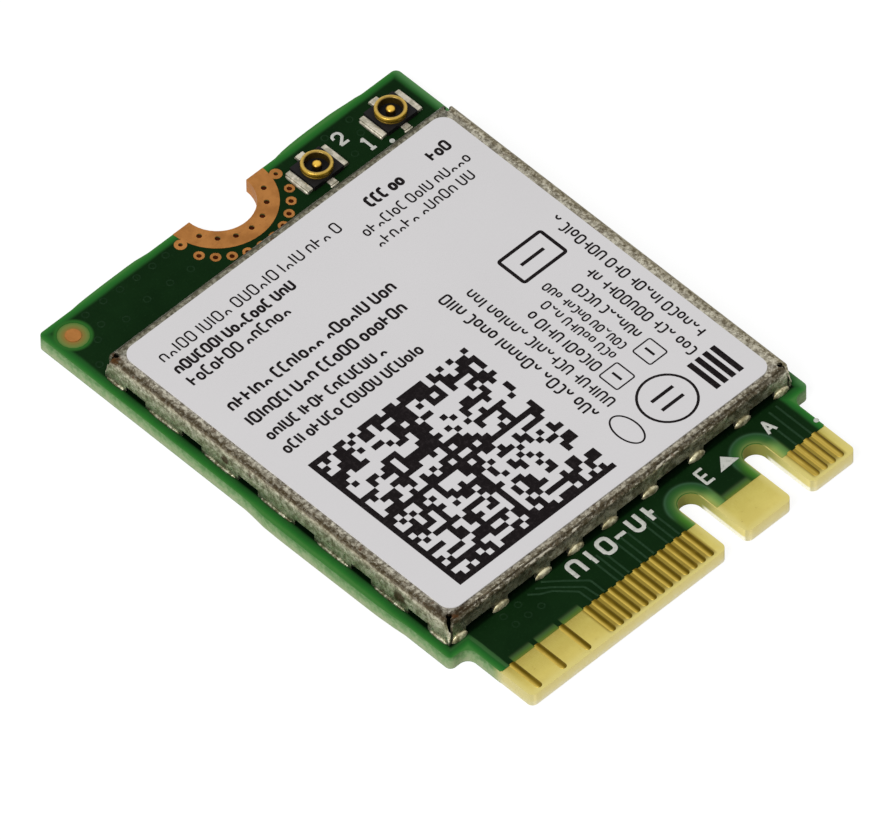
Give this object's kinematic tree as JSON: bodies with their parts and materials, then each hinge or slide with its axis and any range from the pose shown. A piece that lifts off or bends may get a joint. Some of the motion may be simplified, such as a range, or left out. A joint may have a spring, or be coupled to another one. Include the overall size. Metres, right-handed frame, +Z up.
{
  "type": "wireless network card",
  "caption": "Plug-in wireless network card with a keyed gold edge connector, half-round mounting notch, micro coaxial antenna ports and a labelled shield can.",
  "frame": {"origin": "under the middle of the board, at the plane of the lower contacts and the lower land", "axes": "+X across the card with the key slots on the +X half, +Y from the contact edge to the mounting notch, +Z up through the shield can"},
  "size_m": [0.022, 0.03, 0.0022],
  "materials": {
    "laminate": "bare glass-epoxy, satin",
    "solder_mask": "glossy green lacquer over copper",
    "copper": "bare copper, slightly tarnished",
    "gold": "thin gold plating",
    "port_insulator": "black moulding",
    "tinned_sheet": "tinned sheet, mottled, stained at the bends",
    "solder": "reflowed solder",
    "label_paper": "satin white label",
    "chip_mould": "moulded epoxy",
    "ceramic": "fired ceramic",
    "ferrite": "pressed ferrite"
  },
  "bodies": {
    "root": {"circuit_board": "laminate", "solder_mask_top": "solder_mask", "solder_mask_bottom": "solder_mask", "mounting_pad": "copper", "ground_vias": "copper", "fiducial_mark": "copper", "edge_contacts_top": "gold", "edge_contacts_bottom": "gold", "main_port_base": "port_insulator", "main_port_shell": "gold", "main_port_pin": "gold", "aux_port_base": "port_insulator", "aux_port_shell": "gold", "aux_port_pin": "gold", "port_solder": "solder", "shield_can": "tinned_sheet", "shield_solder": "solder", "label": "label_paper", "radio_chip": "chip_mould", "main_front_end": "chip_mould", "aux_front_end": "chip_mould", "diplexers": "ceramic", "reference_crystal": "tinned_sheet", "power_inductors": "ferrite", "capacitors": "ceramic", "resistors": "ceramic"}
  },
  "joints": []
}
